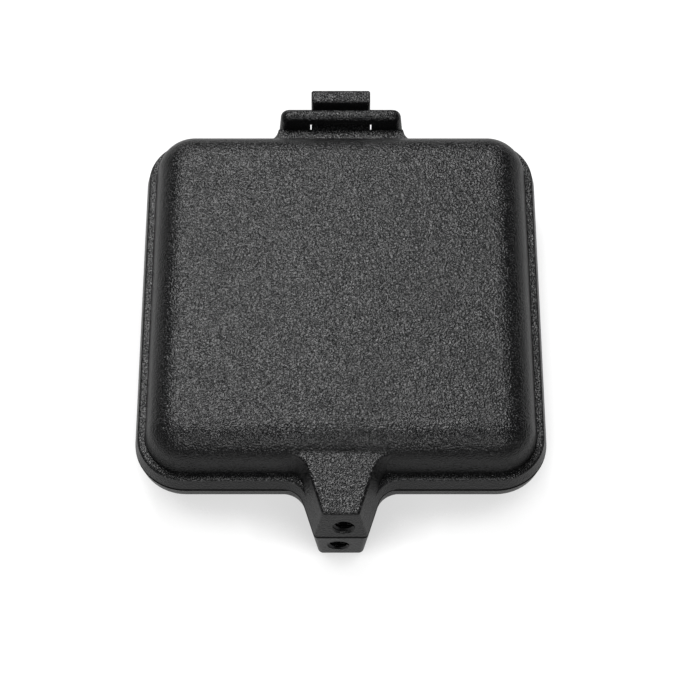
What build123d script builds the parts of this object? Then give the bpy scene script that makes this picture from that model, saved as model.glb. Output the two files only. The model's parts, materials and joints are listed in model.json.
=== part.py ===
from build123d import *
import os
from math import cos, hypot, radians, sin, sqrt, tan

# Square camp pie iron: two cast-iron half shells that close on a flat rim.
# The upper casting hooks under a cross bar that is cast on the lower one.
# Units are millimetres. The origin is the middle of the lower half's flat outside,
# +Z is up and the handle bosses point along -Y. Each half is drawn with its joint
# face at Z = 0 and its shell upwards, and then set in place.

# Rim of each half
rim_side = 125.0            # across the closed rim, at its widest edge
rim_corner = 15.8           # plan radius of the rim's corners
rim_thickness = 5.0         # height of the rim on each half
rim_edge_break = 0.5        # chamfer on the outer edge of the rim, away from the joint face
joint_edge_break = 0.4      # chamfer where the two rims meet
draft = 12.0                # foundry draft of rim and walls, degrees

# Shell of each half
shell_inset = 3.2           # foot of the shell wall, in from the rim's widest edge
shell_height = 17.4         # joint face to the flat outside
shell_wall = 4.5            # thickness of walls and floor
shoulder_round = 9.6        # outer edge between wall and flat
floor_round = 5.7           # cooking cavity, between wall and floor

# Handle boss on the front of each half
boss_reach = 15.65          # beyond the rim
upper_boss_rise = 3.7       # boss's outer face, above the start of the shoulder's curve
lower_boss_rise = 4.7
boss_end_width = 15.9       # across the end, at the joint face
boss_taper = 17.0           # of each side, in plan, degrees
boss_end_draft = 5.5        # lean of the end face, degrees
upper_boss_draft = 12.0     # lean of the boss's sides, degrees
lower_boss_draft = 7.5
upper_boss_round = 1.0      # edges of the boss's outer face and end
lower_boss_round = 1.6
boss_root_round = 1.2       # hollow between the boss's outer face and the shoulder
boss_sink = 0.1             # how far the boss's outer face runs in under the shoulder
rim_flare = 6.5             # hollow between boss and rim, in plan
shell_flare = 5.0           # hollow between boss and shell wall, in plan

# Tapped handle socket in each boss, for a 1/4 inch thread
socket_diameter = 6.35
socket_depth = 17.0         # full diameter, from the end face
socket_mouth = 6.8          # countersink at the end face
socket_offset = 0.8         # sideways, the same way on both castings
upper_socket_height = 6.0   # above the joint face
lower_socket_height = 7.0   # below the joint face

# Hinge: a tab and a hook on the upper half, two arms and a cross bar on the lower one
hinge_width = 42.4          # across the tab, at the joint face
flare_overrun = 0.3         # how far the hollow beside tab or arm runs past the tab's end
bar_set_back = 6.3          # pivot, behind the rim
bar_thick = 4.4             # front to back
bar_tall = 4.8
bar_round = 1.9             # its long edges, and the outer edges of both uprights
bar_slack = 0.45            # least room round the bar as the hook turns
hinge_gap = 0.35            # between the tab and the arms' uprights
upright_width = 40.3        # across both arms and both uprights, at the joint face
upright_draft = 4.6         # lean of the uprights' outer sides, degrees
upright_corner = 2.8        # outer corner between upright and cross bar
upright_root = 1.7          # how far the uprights run down into the arms
arm_heel = 3.0              # rear lower edge of the arms
hook_width = 19.1
hook_side_gap = 0.45        # between hook and upright, each side
hook_throat = 2.2           # inner corner between hook floor and lip
lip_thick = 4.9
lip_height = 12.3           # top of the lip, above the joint face
hook_heel = 6.0             # outer corner under the lip
lip_round = 0.9             # top edges of the lip
hook_edge_break = 0.45

half_rim = rim_side / 2
lean = tan(radians(draft))
boss_end = -(half_rim + boss_reach)
shoulder_start = shell_height - shoulder_round * (1 - sin(radians(draft)))
near = 0.01                 # tolerance for picking faces and edges
clear = 2.0                 # how far a cutter stands out of the metal
bar_reach = hypot(bar_thick / 2 - bar_round, bar_tall / 2 - bar_round) + bar_round
bar_y = half_rim + bar_set_back
bar_z = rim_thickness + bar_slack + bar_reach
bar_front = bar_y - bar_thick / 2
bar_back = bar_y + bar_thick / 2
tab_end = bar_front - hinge_gap
hinge_flare = tab_end - half_rim + flare_overrun
lip_front = bar_y + bar_reach + bar_slack
lip_back = lip_front + lip_thick
window_width = hook_width + 2 * hook_side_gap
buried = 10.0               # how far a piece of the casting runs into its neighbour


def tapered(outline, height, angle=draft):
    """Raise a plan outline from the joint face, drawing in by the draft."""
    return extrude(outline, amount=height, taper=angle)


def rim_plate():
    plate = tapered(RectangleRounded(rim_side, rim_side, rim_corner), rim_thickness)
    return chamfer(plate.edges().group_by(Axis.Z)[-1], rim_edge_break)


def shell_face(inset):
    """Distance at the joint face from the middle to a wall surface inset from the outside."""
    return half_rim - shell_inset + rim_thickness * lean - inset / cos(radians(draft))


def shell_block(inset, height, edge_round):
    half = shell_face(inset)
    corner = rim_corner - (half_rim - half)
    block = tapered(RectangleRounded(2 * half, 2 * half, corner), height)
    return fillet(block.edges().group_by(Axis.Z)[-1], edge_round)


def flared(outline, wall_y, flare):
    """Join an outline to a strip along the wall at wall_y, with hollows where they meet."""
    side = 1 if wall_y > 0 else -1
    half = outline.bounding_box().max.X + flare + buried
    strip = Pos(0, wall_y - side * buried / 2) * Rectangle(2 * half, buried)
    plan = outline + strip
    corners = [v for v in plan.vertices() if abs(v.Y - wall_y) < near and abs(v.X) < half - near]
    return fillet(corners, flare)


def boss_plan(tip, wall_y, flare):
    """Plan of the boss, from its tip to the wall at wall_y that it is flared into."""
    grow = tan(radians(boss_taper))
    half_tip = boss_end_width / 2 + (tip - boss_end) * grow
    half_root = boss_end_width / 2 + (wall_y - boss_end) * grow
    root = wall_y + buried / 2
    wedge = make_face(
        Polyline((-half_tip, tip), (half_tip, tip), (half_root, wall_y), (half_root, root),
                 (-half_root, root), (-half_root, wall_y), close=True)
    )
    return flared(wedge, wall_y, flare)


def behind_end_face(block):
    """Cut a boss block off along its leaning end face."""
    size = 4 * shell_height
    cutter = Pos(0, -size / 2, 0) * Box(size, size, size)
    return block - Pos(0, boss_end, 0) * Rot(-boss_end_draft, 0, 0) * cutter


def behind_shoulder(height, side_draft):
    """How far a leaning strip starts behind the wall to end under the shoulder's curve."""
    centre_z = shell_height - shoulder_round
    centre_y = shell_face(shoulder_round) - centre_z * lean
    on_curve = centre_y + sqrt(shoulder_round ** 2 - (height - centre_z) ** 2)
    return shell_face(0) - height * tan(radians(side_draft)) - on_curve + boss_sink


def boss(height, side_draft, edge_round):
    wall_y = behind_shoulder(height, side_draft) - shell_face(0)
    plan = boss_plan(boss_end - buried, wall_y, shell_flare)
    block = behind_end_face(tapered(plan, height, side_draft))
    end_face = block.faces().sort_by(Axis.Y)[0]
    edges = block.edges().group_by(Axis.Z)[-1] + end_face.edges().sort_by(Axis.Z)[1:3]
    return joint_broken(fillet(edges, edge_round))


def boss_root(side_draft):
    """The rim's share of the boss, flared into the rim, with the rim's broken edges."""
    behind_rim = rim_thickness * (lean - tan(radians(side_draft)))
    plan = boss_plan(-half_rim - boss_reach / 2, behind_rim - half_rim, rim_flare)
    block = tapered(plan, rim_thickness, side_draft)
    return joint_broken(chamfer(block.edges().group_by(Axis.Z)[-1], rim_edge_break))


def socket(height):
    """Tapped hole with a countersunk mouth, sunk from the leaning end face."""
    radius = socket_diameter / 2
    mouth = boss_end + height * tan(radians(boss_end_draft))
    sink = (socket_mouth - socket_diameter) / 2
    profile = make_face(
        Polyline((0, -clear), (radius + sink + clear, -clear), (radius, sink),
                 (radius, socket_depth), (0, socket_depth), close=True)
    )
    hole = revolve(profile, Axis.Y)
    return Pos(socket_offset, mouth, height) * hole


def hinge_plate(width, end_y, end_round):
    """Plate that carries the hinge behind the rim, cut off square at end_y."""
    length = lip_back - half_rim
    root = buried / 2
    tongue = Pos(0, half_rim + (length - root) / 2) * Rectangle(width, length + root)
    plate = tapered(flared(tongue, half_rim, hinge_flare), rim_thickness)
    cutter = Box(2 * width, 4 * length, 4 * rim_thickness)
    plate = plate - Pos(0, end_y + 2 * length, 0) * cutter
    plate = chamfer(plate.edges().group_by(Axis.Z)[-1].sort_by(Axis.Y)[:-1], rim_edge_break)
    return fillet(plate.edges().group_by(Axis.Z)[-1].sort_by(Axis.Y)[-1], end_round)


def outer_body(hinge):
    """Rim and shell with a hinge plate, solid."""
    return rim_plate() + shell_block(0, shell_height, shoulder_round) + hinge


def with_boss(body, rise, side_draft, edge_round):
    """Add the handle boss, and fill the corner between its outer face and the shoulder."""
    height = shoulder_start + rise
    body = body + boss_root(side_draft) + boss(height, side_draft, edge_round)
    root = body.edges().filter_by_position(Axis.Z, height - near, height + near)
    return fillet(root.sort_by(Axis.Y)[-1], boss_root_round)


def cavity():
    return shell_block(shell_wall, shell_height - shell_wall, floor_round)


def joint_broken(body):
    """Break the outer edge of the joint face."""
    joint_face = body.faces().filter_by_position(Axis.Z, -near, near).sort_by(SortBy.AREA)[-1]
    return chamfer(joint_face.outer_wire().edges(), joint_edge_break)


def hook():
    """Side profile of the hook under and behind the bar, swept across its width."""
    profile = make_face(
        Polyline((half_rim, 0), (lip_back, 0), (lip_back, lip_height), (lip_front, lip_height),
                 (lip_front, rim_thickness), (half_rim, rim_thickness), close=True)
    )
    heel = profile.vertices().sort_by_distance((lip_back, 0))[0]
    profile = fillet(heel, hook_heel)
    throat = profile.vertices().sort_by_distance((lip_front, rim_thickness))[0]
    profile = fillet(throat, hook_throat)
    profile = fillet(profile.vertices().group_by(Axis.Y)[-1], lip_round)
    block = extrude(Plane.YZ * profile, amount=hook_width / 2, both=True)
    sides = [e for e in block.edges() if abs(e.center().X) > hook_width / 2 - near]
    return chamfer([e for e in sides if e.center().Y > half_rim + near], hook_edge_break)


def bail():
    """Uprights and cross bar, as an upside-down U with rounded edges."""
    top = bar_z + bar_tall / 2
    bottom = -upright_root
    spread = tan(radians(upright_draft))
    half_top = upright_width / 2 - top * spread
    half_bottom = upright_width / 2 - bottom * spread
    outline = make_face(
        Polyline((-half_bottom, bottom), (half_bottom, bottom), (half_top, top), (-half_top, top),
                 close=True)
    )
    outline = fillet(outline.vertices().group_by(Axis.Y)[-1], upright_corner)
    front_view = Plane((0, bar_y, 0), x_dir=(1, 0, 0), z_dir=(0, -1, 0))
    block = extrude(front_view * outline, amount=bar_thick / 2, both=True)
    block = fillet(rim_of(block, bottom), bar_round)
    opening = bar_z - bar_tall / 2 - bottom
    block = block - Pos(0, bar_y, bottom + opening / 2) * Box(window_width, 2 * bar_thick, opening)
    under = block.edges().filter_by(Axis.X).filter_by_position(Axis.Z, bottom + near, bar_z)
    return fillet(under, bar_round)


def rim_of(block, bottom):
    """Edges round the bail's front and rear faces, above its open foot."""
    faces = block.faces().sort_by(Axis.Y)
    edges = faces[0].edges() + faces[-1].edges()
    return [e for e in edges if e.center().Z > bottom + near]


def upper_half():
    body = joint_broken(outer_body(hinge_plate(hinge_width, tab_end, rim_edge_break))) + hook()
    body = with_boss(body, upper_boss_rise, upper_boss_draft, upper_boss_round)
    return body - cavity() - socket(upper_socket_height)


def lower_half():
    gap = Box(window_width, 2 * (bar_back - half_rim), 3 * rim_thickness)
    body = outer_body(hinge_plate(upright_width, bar_back, arm_heel)) - Pos(0, bar_back, 0) * gap
    body = with_boss(joint_broken(body), lower_boss_rise, lower_boss_draft, lower_boss_round)
    return Rot(0, 180, 0) * (body - cavity() - socket(lower_socket_height)) + bail()


def main():
    os.makedirs("parts", exist_ok=True)
    in_place = Pos(0, 0, shell_height)
    export_step(in_place * upper_half(), "parts/upper_iron.step")
    export_step(in_place * lower_half(), "parts/lower_iron.step")


if __name__ == "__main__":
    main()
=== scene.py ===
import json
from math import radians, tau

import bmesh
import bpy
from bpy.props import FloatProperty, FloatVectorProperty, IntProperty, PointerProperty
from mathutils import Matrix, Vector


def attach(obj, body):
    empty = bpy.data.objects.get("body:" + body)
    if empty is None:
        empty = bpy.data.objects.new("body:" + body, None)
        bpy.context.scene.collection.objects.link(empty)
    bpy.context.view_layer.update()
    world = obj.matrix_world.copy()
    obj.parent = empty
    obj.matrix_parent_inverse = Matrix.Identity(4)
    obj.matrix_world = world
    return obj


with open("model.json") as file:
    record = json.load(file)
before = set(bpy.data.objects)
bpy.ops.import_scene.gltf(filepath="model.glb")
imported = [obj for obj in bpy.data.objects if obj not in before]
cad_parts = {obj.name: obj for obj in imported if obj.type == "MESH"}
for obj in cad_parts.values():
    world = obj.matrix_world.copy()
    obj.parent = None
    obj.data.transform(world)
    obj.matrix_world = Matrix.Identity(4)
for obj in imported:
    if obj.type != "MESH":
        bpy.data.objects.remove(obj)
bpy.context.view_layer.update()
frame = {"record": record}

bl_info = {
    "name": "Pie Iron",
    "version": (1, 0, 0),
    "blender": (4, 5, 0),
    "location": "View3D > Sidebar > Pie Iron",
    "description": "Tapped sockets, cast finish and studio for a hinged camp pie iron",
    "category": "Object",
}

CASTINGS = ("upper_iron", "lower_iron")
SOCKETS = {"upper": "upper_half", "lower": "lower_half"}
MOUNTS = {mount["name"]: mount for mount in frame["record"]["mounts"]}
BORE = MOUNTS["upper_handle_socket"]["dims"]["r_mm"] / 1000

# Section of a thread's ridge: how far its foot is sunk into the bore, in metres,
# and half its width at the foot and at the crest, as shares of the pitch.
RIDGE_SINK = 0.00004
HALF_FOOT = 0.44
HALF_CREST = 0.07

# Sand grain: cells of the two noises as shares of one grain's frequency, and how much the
# coarse one adds.
PEBBLE_CELLS = 0.75
LUMP_CELLS = 0.22
LUMP_SHARE = 0.3
# Upright part of a normal, from a wall to a face that lies flat.
FLAT_LIMITS = (0.60, 0.97)
# Y in metres from which the hinge has full grain, and the grain left on the other walls.
HINGE_LIMITS = (0.0655, 0.0665)
WALL_GRAIN = 0.8
# Height of the pebbles from which their peaks turn lighter: partly seasoning rubbed thin, partly
# painted glints.
PEAK_LIMITS = (0.50, 0.68)

# Seasoning: clouds per metre, and the limits between thin and thick film.
CLOUD_SCALE = 38.0
FILM_LIMITS = (0.35, 0.68)
# Roughness: its swing on the castings, what the walls have more, and the range on the threads.
ROUGHNESS_SWING = 0.02
WALL_DULLNESS = 0.06
TAPPED_ROUGHNESS = (0.14, 0.30)

# Painted shade in the crease along the joint: metres above or below it, from solid to none.
JOINT_SHADE_LIMITS = (0.0004, 0.0009)

# Floor: half its side and its drop below the part, in metres, so that the two faces don't touch.
FLOOR_REACH = 2.5
FLOOR_DROP = 0.0002
PAPER_ROUGHNESS = 0.9
# Shade where the part meets the floor: how far it reaches in metres, how open the place
# is from full shade to none, and the light left in full shade.
SHADE_REACH = 0.02
SHADE_LIMITS = (0.4, 0.78)
SHADE_LIGHT = 0.64

# Lamps: width and depth, and place, in metres. Both are turned towards the part's middle.
OVERHEAD_LAMP = {"size": (0.46, 0.6), "place": (-0.17, 0.62, 1.03)}
FRONT_LAMP = {"size": (1.2, 0.26), "place": (0, -0.76, 0.94)}
LAMP_AIM = (0, 0, 0)

# Camera: its place across the part in metres, and the width of its sensor in millimetres.
CAMERA_ACROSS = -0.000278
SENSOR_WIDTH = 36.0

# Sockets of a Mix node that mixes colours, which share their names with its other types'.
MIX_FIRST, MIX_SECOND, MIX_RESULT = 6, 7, 2
# Distance between neighbours in the node editor.
NODE_COLUMN, NODE_ROW = 200, 160


class ThreadSizes(bpy.types.PropertyGroup):
    """Sizes of the female thread in both handle sockets."""

    pitch: FloatProperty(
        name="Pitch", description="From one turn to the next",
        default=0.00127, min=0.0002, unit="LENGTH")
    crest: FloatProperty(
        name="Crest Radius", description="From the socket's axis to the top of a ridge",
        default=0.00257, min=0.0005, unit="LENGTH")
    bore: FloatProperty(
        name="Bore Radius", description="From the socket's axis to the foot of a ridge",
        default=BORE, min=0.0005, unit="LENGTH")
    mouth: FloatProperty(
        name="Mouth", description="Where the first turn starts, along the handle's axis",
        default=-0.07695, unit="LENGTH")
    turns: IntProperty(
        name="Turns", description="How many turns each thread has", default=12, min=1)
    steps: IntProperty(
        name="Steps", description="Segments in each turn", default=40, min=8)


class IronFinish(bpy.types.PropertyGroup):
    """Colours and grain of the seasoned cast iron."""

    iron: FloatVectorProperty(
        name="Iron", description="Seasoned iron in the hollows of the grain",
        default=(0.0065, 0.0066, 0.0070, 1.0), size=4, min=0, max=1, subtype="COLOR")
    # Lighter colour of the grain's peaks on flat faces: partly seasoning rubbed thin by handling,
    # partly painted glints.
    rubbed_and_glint: FloatVectorProperty(
        name="Rubbed Iron",
        description="Peaks of the grain, where handling has thinned the seasoning",
        default=(0.03, 0.03, 0.031, 1.0), size=4, min=0, max=1, subtype="COLOR")
    cut: FloatVectorProperty(
        name="Cut Iron", description="Oiled iron on the ridges of the threads",
        default=(0.055, 0.055, 0.057, 1.0), size=4, min=0, max=1, subtype="COLOR")
    # Painted shade in the crease where the two castings meet, on their sides.
    joint_shade: FloatVectorProperty(
        name="Soot", description="Soot along the joint",
        default=(0.001, 0.001, 0.001, 1.0), size=4, min=0, max=1, subtype="COLOR")
    joint: FloatProperty(
        name="Joint Height", description="Where the two castings meet",
        default=0.0174, unit="LENGTH")
    roughness: FloatProperty(
        name="Roughness", description="Average roughness of the seasoning",
        default=0.25, min=0, max=1, subtype="FACTOR")
    shine: FloatProperty(
        name="Shine", description="Specular level of the seasoning",
        default=0.46, min=0, max=1, subtype="FACTOR")
    grain: FloatProperty(
        name="Grain", description="Width of one grain left by the moulding sand",
        default=0.00037, min=0.0001, unit="LENGTH")
    relief: FloatProperty(
        name="Relief", description="Height of the grain",
        default=0.00030, min=0, unit="LENGTH")


class StudioSetup(bpy.types.PropertyGroup):
    """Floor, lamps and camera."""

    floor: FloatVectorProperty(
        name="Floor", description="Colour of the paper the part lies on",
        default=(0.30, 0.30, 0.30, 1.0), size=4, min=0, max=1, subtype="COLOR")
    backing: FloatProperty(
        name="Backing", description="White added where the floor is seen",
        default=0.93, min=0, max=1, subtype="FACTOR")
    mirrored: FloatProperty(
        name="Mirrored", description="Share of the backing that reflections show",
        default=0.46, min=0, max=1, subtype="FACTOR")
    room: FloatProperty(
        name="Room", description="Grey level of the room around the lamps",
        default=0.04, min=0, max=1, subtype="FACTOR")
    overhead: FloatProperty(
        name="Overhead Lamp", description="Power of the lamp above and behind the part",
        default=8.9, min=0, subtype="POWER")
    front: FloatProperty(
        name="Front Lamp", description="Power of the strip lamp above the camera",
        default=5.5, min=0, subtype="POWER")
    lens: FloatProperty(
        name="Lens", description="Focal length of the camera", default=126.05, min=1)
    height: FloatProperty(
        name="Camera Height", description="Height of the camera above the part's foot",
        default=0.659574, unit="LENGTH")
    distance: FloatProperty(
        name="Camera Distance", description="From the part's middle to below the camera",
        default=0.381374, unit="LENGTH")
    tilt: FloatProperty(
        name="Camera Tilt", description="From looking straight down",
        default=radians(30.023), subtype="ANGLE")


def new_object(name, data):
    """Put an object made of a mesh, a lamp or a camera into the scene."""
    piece = bpy.data.objects.new(name, data)
    bpy.context.scene.collection.objects.link(piece)
    return piece


def finish_mesh(bm, name):
    """Turn a bmesh into an object with its faces outwards."""
    bmesh.ops.remove_doubles(bm, verts=bm.verts, dist=1e-7)
    bmesh.ops.recalc_face_normals(bm, faces=bm.faces)
    mesh = bpy.data.meshes.new(name)
    bm.to_mesh(mesh)
    bm.free()
    return new_object(name, mesh)


def add_node(tree, kind, place, **settings):
    """Add a node; settings name its attributes, or its sockets when they start with a capital."""
    node = tree.nodes.new(kind)
    node.location = (place[0] * NODE_COLUMN, place[1] * NODE_ROW)
    for key, value in settings.items():
        if key[0].isupper():
            node.inputs[key.replace("_", " ")].default_value = value
        else:
            setattr(node, key, value)
    return node


def maths(tree, operation, place, first, second=None, third=None):
    """Add a Math node whose inputs are sockets or numbers, and return its output."""
    node = add_node(tree, "ShaderNodeMath", place, operation=operation)
    for index, value in enumerate((first, second, third)):
        if isinstance(value, bpy.types.NodeSocket):
            tree.links.new(value, node.inputs[index])
        elif value is not None:
            node.inputs[index].default_value = value
    return node.outputs[0]


def spread(tree, place, value, low, high, to_low=0.0, to_high=1.0):
    """Map a value between two limits, with a smooth start and end."""
    node = add_node(tree, "ShaderNodeMapRange", place, interpolation_type="SMOOTHSTEP")
    tree.links.new(value, node.inputs["Value"])
    limits = {"From Min": low, "From Max": high, "To Min": to_low, "To Max": to_high}
    for key, number in limits.items():
        node.inputs[key].default_value = number
    return node.outputs["Result"]


def mix_colour(tree, place, factor, first, second):
    """Mix two colours, each a socket or a value, and return the result's socket."""
    node = add_node(tree, "ShaderNodeMix", place, data_type="RGBA")
    tree.links.new(factor, node.inputs["Factor"])
    for index, value in ((MIX_FIRST, first), (MIX_SECOND, second)):
        if isinstance(value, bpy.types.NodeSocket):
            tree.links.new(value, node.inputs[index])
        else:
            node.inputs[index].default_value = value
    return node.outputs[MIX_RESULT]


def new_group(name, vectors, numbers, results):
    """Start a shader node group with named inputs and numbers as its outputs."""
    tree = bpy.data.node_groups.new(name, "ShaderNodeTree")
    for label in vectors:
        tree.interface.new_socket(label, in_out="INPUT", socket_type="NodeSocketVector")
    for label in numbers:
        tree.interface.new_socket(label, in_out="INPUT", socket_type="NodeSocketFloat")
    for label in results:
        tree.interface.new_socket(label, in_out="OUTPUT", socket_type="NodeSocketFloat")
    inside = add_node(tree, "NodeGroupInput", (-5, 0))
    out = add_node(tree, "NodeGroupOutput", (7, 0))
    return tree, inside.outputs, out.inputs


def sand_grain_group():
    """Relief that moulding sand leaves on a casting, full where it lies flat and on the hinge."""
    tree, given, result = new_group(
        "sand_grain", ("Vector", "Normal"), ("Grain",), ("Height", "Peaks", "Flat"))
    cells = maths(tree, "DIVIDE", (-3, 1), 1.0, given["Grain"])
    pebbles = add_node(
        tree, "ShaderNodeTexNoise", (-1, 2), Detail=0.6, Roughness=0.5, Distortion=0.3)
    lumps = add_node(tree, "ShaderNodeTexNoise", (-1, 0), Detail=1.0, Roughness=0.5)
    for row, (noise, share) in enumerate(((lumps, LUMP_CELLS), (pebbles, PEBBLE_CELLS))):
        tree.links.new(given["Vector"], noise.inputs["Vector"])
        tree.links.new(maths(tree, "MULTIPLY", (-2, row + 1), cells, share), noise.inputs["Scale"])
    low_relief = maths(tree, "MULTIPLY", (1, 0), lumps.outputs["Fac"], LUMP_SHARE)
    surface = maths(tree, "ADD", (2, 1), pebbles.outputs["Fac"], low_relief)

    normal = add_node(tree, "ShaderNodeSeparateXYZ", (-3, -2))
    tree.links.new(given["Normal"], normal.inputs[0])
    upright = maths(tree, "ABSOLUTE", (-2, -2), normal.outputs["Z"])
    flat = spread(tree, (-1, -2), upright, *FLAT_LIMITS)
    point = add_node(tree, "ShaderNodeSeparateXYZ", (-3, -3))
    tree.links.new(given["Vector"], point.inputs[0])
    hinge = spread(tree, (-1, -3), point.outputs["Y"], *HINGE_LIMITS)
    rough_cast = maths(tree, "MAXIMUM", (0, -3), flat, hinge)
    amount = spread(tree, (1, -2), rough_cast, 0.0, 1.0, WALL_GRAIN, 1.0)
    tree.links.new(maths(tree, "MULTIPLY", (3, 1), surface, amount), result["Height"])

    # Peaks of the grain on flat faces, where the lighter colour goes: partly rubbed seasoning,
    # partly painted glints.
    peaks = spread(tree, (2, -1), pebbles.outputs["Fac"], *PEAK_LIMITS)
    tree.links.new(maths(tree, "MULTIPLY", (4, -1), peaks, flat), result["Peaks"])
    tree.links.new(flat, result["Flat"])
    return tree


def seasoning_group():
    """Slow changes in the baked oil: its film for the colour, and a roughness."""
    tree, given, result = new_group(
        "seasoning", ("Vector",), ("Low", "High"), ("Film", "Roughness"))
    clouds = add_node(
        tree, "ShaderNodeTexNoise", (-1, 0), Scale=CLOUD_SCALE, Detail=4.0, Roughness=0.6)
    tree.links.new(given["Vector"], clouds.inputs["Vector"])
    film = spread(tree, (0, 0), clouds.outputs["Fac"], *FILM_LIMITS)
    between = maths(tree, "SUBTRACT", (1, -1), given["High"], given["Low"])
    roughness = maths(tree, "MULTIPLY_ADD", (2, -1), film, between, given["Low"])
    tree.links.new(film, result["Film"])
    tree.links.new(roughness, result["Roughness"])
    return tree


def joint_line_group():
    """Painted shade in the crease along the outside of the joint between the castings."""
    tree, given, result = new_group("joint_line", ("Vector",), ("Flat", "Height"), ("Line",))
    point = add_node(tree, "ShaderNodeSeparateXYZ", (-1, 0))
    tree.links.new(given["Vector"], point.inputs[0])
    rise = maths(tree, "SUBTRACT", (0, 0), point.outputs["Z"], given["Height"])
    away = maths(tree, "ABSOLUTE", (1, 0), rise)
    near = spread(tree, (2, 0), away, *JOINT_SHADE_LIMITS, 1.0, 0.0)
    side = maths(tree, "SUBTRACT", (2, -1), 1.0, given["Flat"])
    tree.links.new(maths(tree, "MULTIPLY", (3, 0), near, side), result["Line"])
    return tree


def place_group(tree, group, place, source):
    """Place a node group in a material, on the piece's own coordinates."""
    node = add_node(tree, "ShaderNodeGroup", place, node_tree=group)
    tree.links.new(source.outputs["Object"], node.inputs["Vector"])
    return node


def new_material(name):
    """Start a material and return it with its tree, shader and coordinates."""
    material = bpy.data.materials.new(name)
    material.use_nodes = True
    tree = material.node_tree
    shader = tree.nodes["Principled BSDF"]
    source = add_node(tree, "ShaderNodeTexCoord", (-7, 0))
    return material, tree, shader, source


def seasoned_iron(finish, grain, seasoning, joint_line):
    """Black oil-baked iron: lighter grain peaks where it lies flat, partly rubbed seasoning and
    partly painted glints; duller walls; painted shade along the joint.
    """
    material, tree, shader, source = new_material("seasoned_iron")
    sand = place_group(tree, grain, (-5, 1), source)
    tree.links.new(source.outputs["Normal"], sand.inputs["Normal"])
    sand.inputs["Grain"].default_value = finish.grain
    oil = place_group(tree, seasoning, (-5, -1), source)
    oil.inputs["Low"].default_value = finish.roughness - ROUGHNESS_SWING
    oil.inputs["High"].default_value = finish.roughness + ROUGHNESS_SWING
    line = place_group(tree, joint_line, (-4, -3), source)
    line.inputs["Height"].default_value = finish.joint
    tree.links.new(sand.outputs["Flat"], line.inputs["Flat"])

    # Lighter grain peaks on flat faces: partly rubbed seasoning, partly painted glints.
    tone = mix_colour(tree, (-3, 1), sand.outputs["Peaks"], finish.iron, finish.rubbed_and_glint)
    # Painted shade along the joint's crease, on the sides only.
    tone = mix_colour(tree, (-2, 1), line.outputs["Line"], tone, finish.joint_shade)
    tree.links.new(tone, shader.inputs["Base Color"])
    duller = maths(
        tree, "MULTIPLY_ADD", (-3, -1), sand.outputs["Flat"], -WALL_DULLNESS, WALL_DULLNESS)
    rough = maths(tree, "ADD", (-2, -1), oil.outputs["Roughness"], duller)
    rough = maths(tree, "MAXIMUM", (-1, -1), rough, line.outputs["Line"])
    tree.links.new(rough, shader.inputs["Roughness"])
    shader.inputs["Specular IOR Level"].default_value = finish.shine
    bump = add_node(tree, "ShaderNodeBump", (-2, -2), Strength=1.0, Distance=finish.relief)
    tree.links.new(sand.outputs["Height"], bump.inputs["Height"])
    tree.links.new(bump.outputs["Normal"], shader.inputs["Normal"])
    return material


def tapped_iron(finish, seasoning):
    """Metal of the thread's ridges, dark with oil and smooth enough to glint."""
    material, tree, shader, source = new_material("tapped_iron")
    oil = place_group(tree, seasoning, (-5, -1), source)
    oil.inputs["Low"].default_value, oil.inputs["High"].default_value = TAPPED_ROUGHNESS
    tone = mix_colour(tree, (-3, 1), oil.outputs["Film"], finish.cut, finish.rubbed_and_glint)
    tree.links.new(tone, shader.inputs["Base Color"])
    tree.links.new(oil.outputs["Roughness"], shader.inputs["Roughness"])
    shader.inputs["Metallic"].default_value = 1.0
    return material


def thread_ridge(sizes, name, x, z):
    """Sweep the ridge's section round the socket's axis, one pitch further with each turn."""
    foot = sizes.bore + RIDGE_SINK
    half_foot = sizes.pitch * HALF_FOOT
    half_crest = sizes.pitch * HALF_CREST
    section = (
        (foot, -half_foot), (sizes.crest, -half_crest),
        (sizes.crest, half_crest), (foot, half_foot))
    bm = bmesh.new()
    loop = [bm.verts.new((x + radius, sizes.mouth + along, z)) for radius, along in section]
    edges = [bm.edges.new((loop[i - 1], loop[i])) for i in range(len(loop))]
    bmesh.ops.spin(
        bm, geom=loop + edges, cent=(x, 0, z), axis=(0, 1, 0), angle=tau * sizes.turns,
        dvec=(0, sizes.pitch / sizes.steps, 0), steps=sizes.turns * sizes.steps)
    ends = [edge for edge in bm.edges if edge.is_boundary]
    bmesh.ops.holes_fill(bm, edges=ends, sides=len(section))
    return finish_mesh(bm, name)


class PIEIRON_OT_tap_sockets(bpy.types.Operator):
    """Line both sockets with the ridges of the handle thread"""

    bl_idname = "pie_iron.tap_sockets"
    bl_label = "Tap Sockets"

    def execute(self, context):
        sizes = context.scene.pie_iron_thread
        for half, body in SOCKETS.items():
            x, _, z = MOUNTS[half + "_handle_socket"]["pos_m"]
            ridge = thread_ridge(sizes, half + "_thread", x, z)
            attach(ridge, body)
        return {"FINISHED"}


class PIEIRON_OT_finish_iron(bpy.types.Operator):
    """Season both castings and the threads"""

    bl_idname = "pie_iron.finish_iron"
    bl_label = "Finish Iron"

    def execute(self, context):
        finish = context.scene.pie_iron_finish
        seasoning = seasoning_group()
        cast = seasoned_iron(finish, sand_grain_group(), seasoning, joint_line_group())
        tapped = tapped_iron(finish, seasoning)
        pieces = {name: cast for name in CASTINGS}
        pieces.update({half + "_thread": tapped for half in SOCKETS})
        for name, material in pieces.items():
            mesh = bpy.data.objects[name].data
            mesh.materials.clear()
            mesh.materials.append(material)
        return {"FINISHED"}


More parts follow.
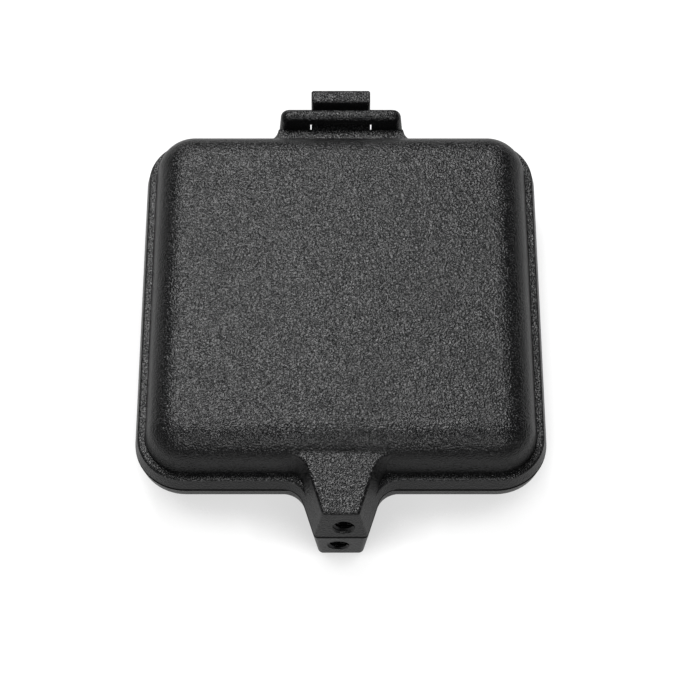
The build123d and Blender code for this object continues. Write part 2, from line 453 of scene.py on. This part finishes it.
def paper_material(studio):
    """Pale paper that looks white, dimmer where it is mirrored, and still holds a shadow."""
    material, tree, shader, _ = new_material("studio_paper")
    shader.inputs["Base Color"].default_value = studio.floor
    shader.inputs["Roughness"].default_value = PAPER_ROUGHNESS
    shader.inputs["Specular IOR Level"].default_value = 0.0
    ray = add_node(tree, "ShaderNodeLightPath", (-5, -2)).outputs
    mirror = maths(
        tree, "MAXIMUM", (-4, -3), ray["Is Glossy Ray"], ray["Is Transmission Ray"])
    seen = maths(
        tree, "MULTIPLY_ADD", (-3, -2), mirror, studio.mirrored, ray["Is Camera Ray"])
    white = maths(tree, "MULTIPLY", (-2, -2), seen, studio.backing)
    openness = add_node(
        tree, "ShaderNodeAmbientOcclusion", (-4, -5), samples=8, Distance=SHADE_REACH)
    lit = spread(tree, (-3, -5), openness.outputs["AO"], *SHADE_LIMITS, SHADE_LIGHT, 1.0)
    strength = maths(tree, "MULTIPLY", (-1, -3), white, lit)
    shader.inputs["Emission Color"].default_value = (1, 1, 1, 1)
    tree.links.new(strength, shader.inputs["Emission Strength"])
    return material


def add_lamp(name, power, size, place):
    """Add a rectangular area lamp, turned towards the part."""
    data = bpy.data.lights.new(name, "AREA")
    data.shape = "RECTANGLE"
    data.size, data.size_y = size
    data.energy = power
    lamp = new_object(name, data)
    lamp.location = place
    line_of_sight = Vector(LAMP_AIM) - Vector(place)
    lamp.rotation_euler = line_of_sight.to_track_quat("-Z", "Y").to_euler()


class PIEIRON_OT_set_stage(bpy.types.Operator):
    """Set up the floor, lamps and camera"""

    bl_idname = "pie_iron.set_stage"
    bl_label = "Set Stage"

    def execute(self, context):
        scene, studio = context.scene, context.scene.pie_iron_studio
        bm = bmesh.new()
        bmesh.ops.create_grid(bm, x_segments=1, y_segments=1, size=FLOOR_REACH)
        bmesh.ops.translate(bm, verts=bm.verts, vec=(0, 0, -FLOOR_DROP))
        floor = finish_mesh(bm, "studio_floor")
        floor.data.materials.append(paper_material(studio))

        add_lamp("overhead_lamp", studio.overhead, **OVERHEAD_LAMP)
        add_lamp("front_lamp", studio.front, **FRONT_LAMP)

        world = bpy.data.worlds.new("studio_room")
        world.use_nodes = True
        grey = (studio.room, studio.room, studio.room, 1)
        world.node_tree.nodes["Background"].inputs["Color"].default_value = grey
        scene.world = world
        scene.view_settings.view_transform = "Standard"

        data = bpy.data.cameras.new("studio_camera")
        data.lens = studio.lens
        data.sensor_width = SENSOR_WIDTH
        camera = new_object("studio_camera", data)
        camera.location = (CAMERA_ACROSS, -studio.distance, studio.height)
        camera.rotation_euler = (studio.tilt, 0, 0)
        scene.camera = camera
        return {"FINISHED"}


class PIEIRON_PT_sidebar(bpy.types.Panel):
    """Steps that dress and light the pie iron"""

    bl_label = "Pie Iron"
    bl_idname = "PIEIRON_PT_sidebar"
    bl_space_type = "VIEW_3D"
    bl_region_type = "UI"
    bl_category = "Pie Iron"

    def draw(self, context):
        for step in OPERATORS:
            self.layout.operator(step.bl_idname)


OPERATORS = (PIEIRON_OT_tap_sockets, PIEIRON_OT_finish_iron, PIEIRON_OT_set_stage)
SETTINGS = {
    "pie_iron_thread": ThreadSizes,
    "pie_iron_finish": IronFinish,
    "pie_iron_studio": StudioSetup,
}
CLASSES = (*SETTINGS.values(), *OPERATORS, PIEIRON_PT_sidebar)


def register():
    """Register the classes and hang the settings on the scene."""
    for item in CLASSES:
        bpy.utils.register_class(item)
    for name, group in SETTINGS.items():
        setattr(bpy.types.Scene, name, PointerProperty(type=group))


def unregister():
    """Take back what register did."""
    for name in SETTINGS:
        delattr(bpy.types.Scene, name)
    for item in reversed(CLASSES):
        bpy.utils.unregister_class(item)


def main():
    """Dress the pie iron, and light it."""
    register()
    bpy.ops.pie_iron.tap_sockets()
    bpy.ops.pie_iron.finish_iron()
    bpy.ops.pie_iron.set_stage()


if __name__ == "__main__":
    main()
